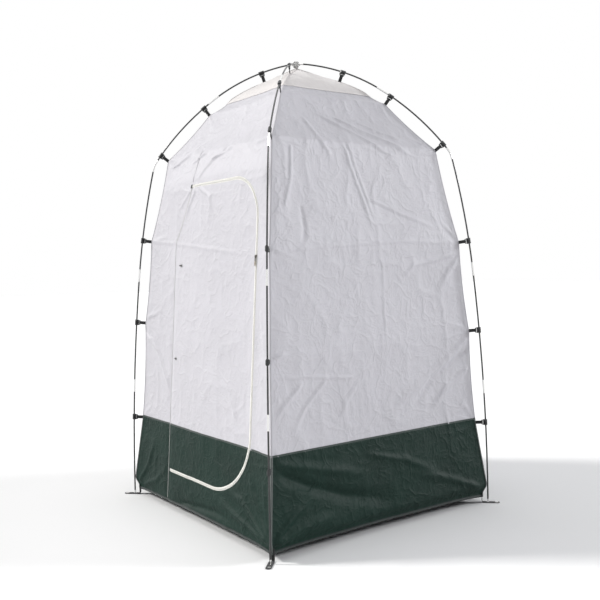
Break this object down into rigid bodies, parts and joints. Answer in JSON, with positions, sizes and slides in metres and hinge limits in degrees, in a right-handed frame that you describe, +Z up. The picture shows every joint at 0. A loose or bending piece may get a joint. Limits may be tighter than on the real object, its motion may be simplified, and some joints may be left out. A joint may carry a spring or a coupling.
{
  "type": "privacy shower tent",
  "caption": "Square free-standing privacy shelter: crossed shock-corded poles, clipped-on canopy with dark skirt, sheer roof cap and a zipped swinging door.",
  "frame": {"origin": "on the ground under the point where the two poles cross", "axes": "+Z up; the door wall faces -Y and its hinge seam is on the -X side; the walls are square to X and Y and the legs stand on the diagonals"},
  "size_m": [1.265, 1.265, 2.0124],
  "materials": {
    "pole": "smooth black pultruded fibreglass",
    "steel": "drawn and plated steel, bright",
    "shock_cord": "braided elastic",
    "clip_plastic": "moulded black plastic, fine satin",
    "black_webbing": "flat woven polyester webbing",
    "grey_tape": "thin woven tape",
    "roof_cloth": "light warm grey woven polyester, slightly sheer",
    "white_cloth": "white coated polyester taffeta, soft sheen",
    "green_cloth": "dark green coated polyester, soft sheen",
    "dark_binding": "folded and stitched polyester binding",
    "zip_tape": "white woven zip tape",
    "zip_coil": "white nylon coil",
    "zip_metal": "dark plated zinc",
    "tan_tape": "tan woven tape",
    "elastic_loop": "grey elastic cord and patch",
    "toggle_plastic": "dark moulded plastic"
  },
  "bodies": {
    "canopy_frame": {"leg_poles_front_left": "pole", "leg_poles_front_right": "pole", "leg_poles_back_right": "pole", "leg_poles_back_left": "pole", "arch_poles_upper": "pole", "arch_poles_lower": "pole", "ferrules_upper": "steel", "ferrules_lower": "steel", "elbows_upper": "steel", "elbows_lower": "steel", "crossing_ferrule_upper": "steel", "crossing_ferrule_lower": "steel", "shock_cord_upper": "shock_cord", "shock_cord_lower": "shock_cord", "pole_tips": "steel", "foot_straps": "black_webbing", "pin_eyelets": "steel", "peg_eyelets": "steel", "clip_hooks_front_left": "clip_plastic", "clip_hooks_front_right": "clip_plastic", "clip_hooks_back_right": "clip_plastic", "clip_hooks_back_left": "clip_plastic", "clip_straps_front_left": "black_webbing", "clip_straps_front_right": "black_webbing", "clip_straps_back_right": "black_webbing", "clip_straps_back_left": "black_webbing", "apex_tie": "grey_tape", "bag_loop": "black_webbing", "roof_cap": "roof_cloth", "eaves": "white_cloth", "wall_back": "white_cloth", "wall_left": "white_cloth", "wall_right": "white_cloth", "wall_front_left": "white_cloth", "wall_front_right": "white_cloth", "wall_front_top": "white_cloth", "skirt_back": "green_cloth", "skirt_left": "green_cloth", "skirt_right": "green_cloth", "skirt_front_left": "green_cloth", "skirt_front_right": "green_cloth", "skirt_front_sill": "green_cloth", "corner_bindings": "dark_binding", "hem_binding": "dark_binding", "hinge_piping": "grey_tape", "zip_tape_wall": "zip_tape", "zip_coil_wall": "zip_coil"},
    "door": {"door_panel": "white_cloth", "door_skirt": "green_cloth", "zip_tape_door": "zip_tape", "zip_coil_door": "zip_coil", "toggle_loops": "elastic_loop"},
    "zip_slider": {"zip_slider": "zip_metal"},
    "zip_pull": {"zip_pull": "zip_metal", "pull_tape": "tan_tape"},
    "toggle_upper": {"toggle_upper": "toggle_plastic"},
    "toggle_lower": {"toggle_lower": "toggle_plastic"}
  },
  "joints": [
    {"name": "door_swing", "type": "hinge", "parent": "canopy_frame", "child": "door", "pos_m": [-0.28, -0.51903, 0.72225], "axis": [0, -0.0691, -0.9976], "range_deg": [0, 110]},
    {"name": "zip_slide", "type": "slide", "parent": "canopy_frame", "child": "zip_slider", "axis": [0, 0.0691, 0.9976], "range_m": [-0.65, 0.14]},
    {"name": "pull_swing", "type": "hinge", "parent": "zip_slider", "child": "zip_pull", "pos_m": [0.393, -0.49821, 1.12177], "axis": [-1, 0, 0], "range_deg": [0, 150]},
    {"name": "toggle_upper_turn", "type": "hinge", "parent": "door", "child": "toggle_upper", "pos_m": [-0.222, -0.5003, 1.09385], "axis": [0, -0.9976, 0.0691], "range_deg": [-90, 90]},
    {"name": "toggle_lower_turn", "type": "hinge", "parent": "door", "child": "toggle_lower", "pos_m": [-0.24, -0.52913, 0.67785], "axis": [0, -0.9976, 0.0691], "range_deg": [-90, 90]}
  ]
}
